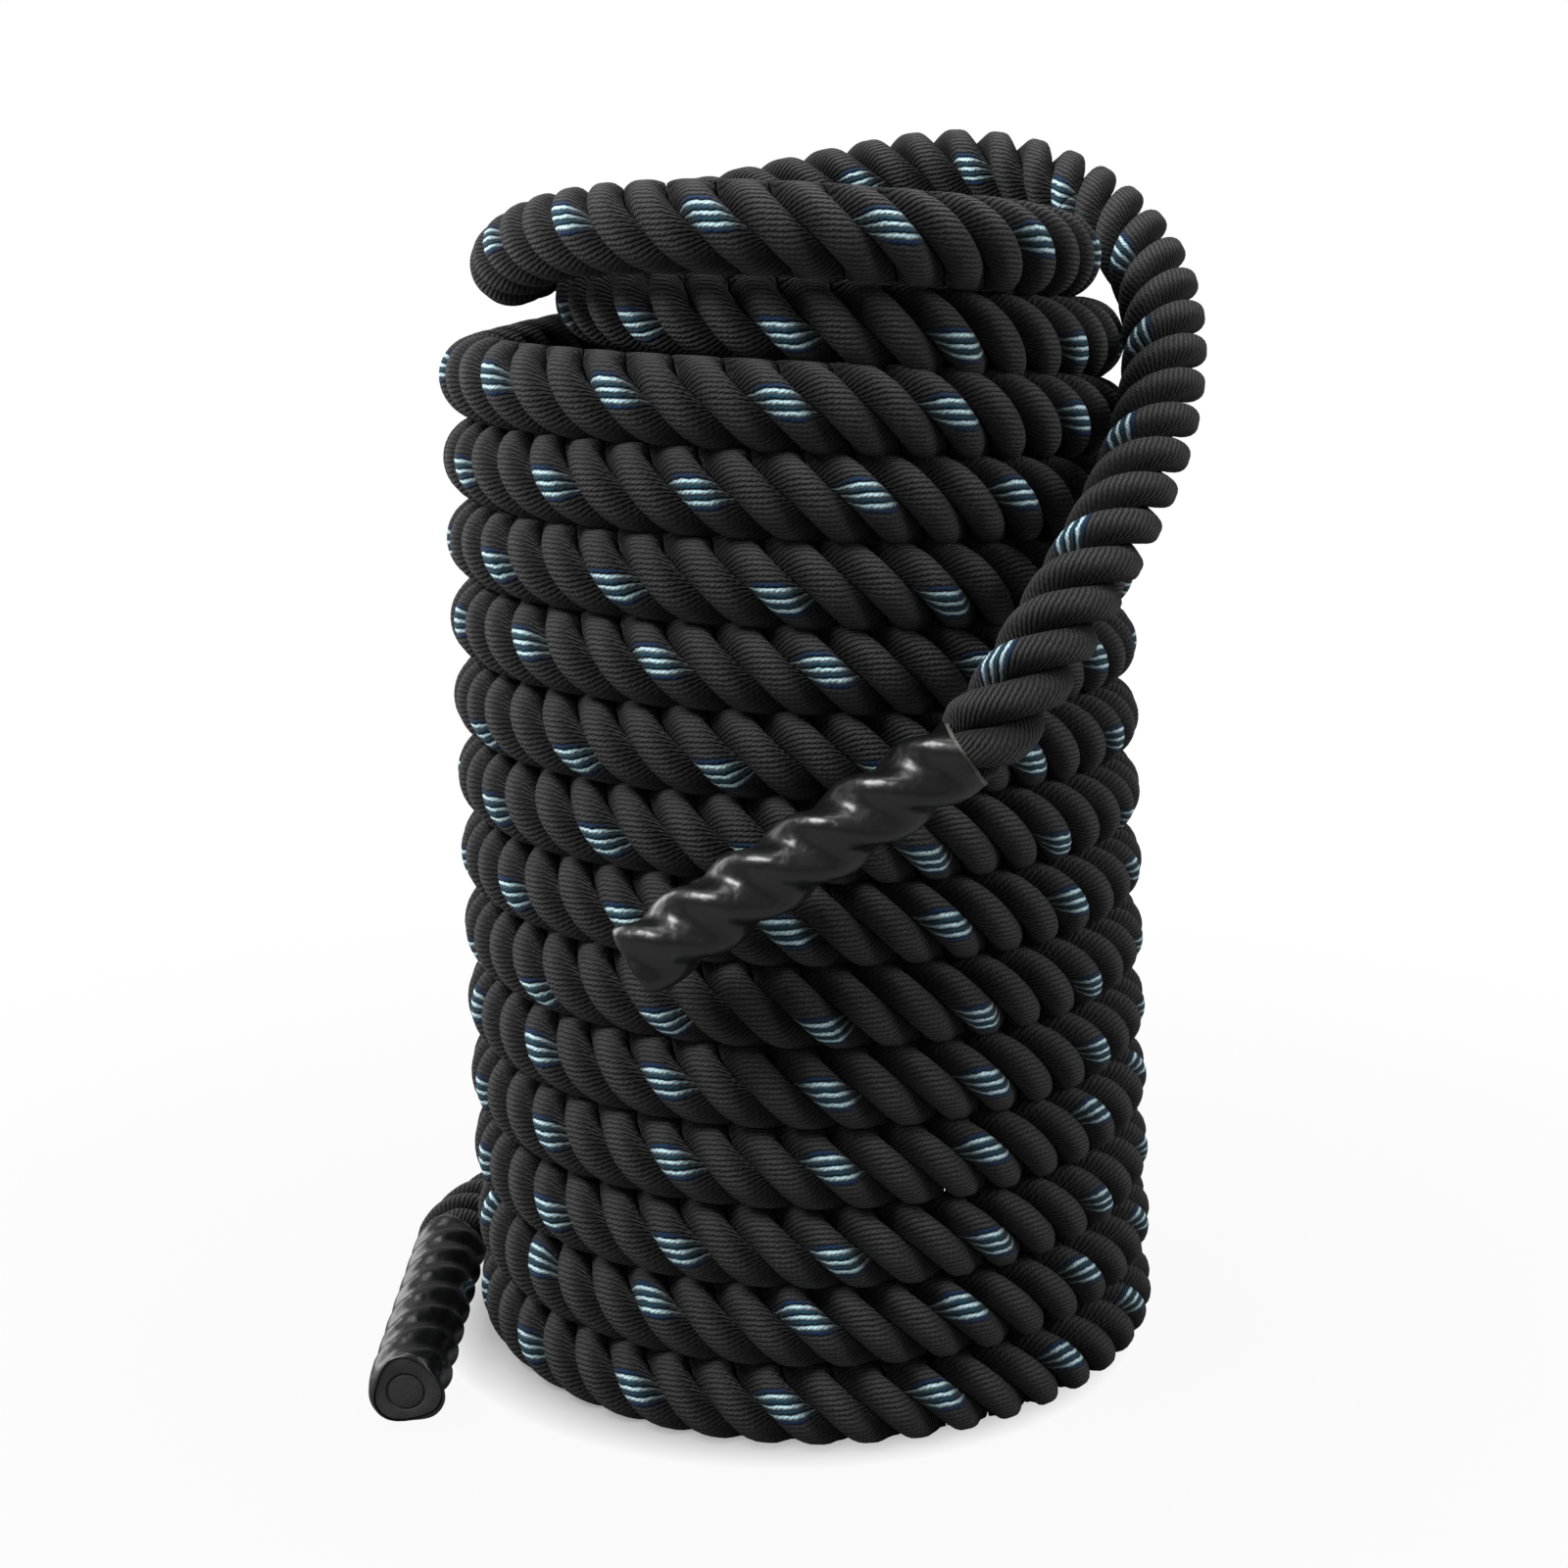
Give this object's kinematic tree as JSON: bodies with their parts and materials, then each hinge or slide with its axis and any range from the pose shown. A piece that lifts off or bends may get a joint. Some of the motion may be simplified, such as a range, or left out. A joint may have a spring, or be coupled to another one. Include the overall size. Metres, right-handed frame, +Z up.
{
  "type": "training rope coil",
  "caption": "Thick three-strand twisted training rope wound into a tall standing coil, with a shrink-sleeved grip on each end.",
  "frame": {"origin": "on the floor, under the middle of the whole part's box", "axes": "+Z up; the coil stands along Z and leans a little towards -X; the front, where the upper grip hangs, faces -Y; the lower grip lies on the floor on the -X side"},
  "size_m": [0.3986, 0.4203, 0.6054],
  "materials": {
    "rope_yarn": "matt twisted polyester yarn, charcoal black with a few pale tracer yarns",
    "shrink_sleeve": "glossy black shrink film that follows the strands",
    "plug_rubber": "matt dark grey",
    "whipping_tape": "matt black cloth tape",
    "sleeve_glue": "pale translucent hot-melt glue"
  },
  "bodies": {
    "coil": {"rope_coil": "rope_yarn", "loose_turns": "rope_yarn", "lower_bight": "rope_yarn"},
    "upper_end": {"upper_tail": "rope_yarn", "upper_grip_sleeve": "shrink_sleeve", "upper_end_plug": "plug_rubber", "upper_whipping": "whipping_tape", "upper_glue_bead": "sleeve_glue", "upper_strand_end_1": "rope_yarn", "upper_strand_end_2": "rope_yarn", "upper_strand_end_3": "rope_yarn"},
    "lower_end": {"lower_tail": "rope_yarn", "lower_grip_sleeve": "shrink_sleeve", "lower_end_plug": "plug_rubber", "lower_whipping": "whipping_tape", "lower_glue_bead": "sleeve_glue", "lower_strand_end_1": "rope_yarn", "lower_strand_end_2": "rope_yarn", "lower_strand_end_3": "rope_yarn"}
  },
  "joints": [
    {"name": "upper_end_swing", "type": "hinge", "parent": "coil", "child": "upper_end", "pos_m": [0.18057, -0.03055, 0.53126], "axis": [-1, 0, 0], "range_deg": [0, 50]},
    {"name": "lower_end_swing", "type": "hinge", "parent": "coil", "child": "lower_end", "pos_m": [-0.17328, 0.10637, 0.019], "axis": [0, 0, -1], "range_deg": [0, 35]}
  ]
}
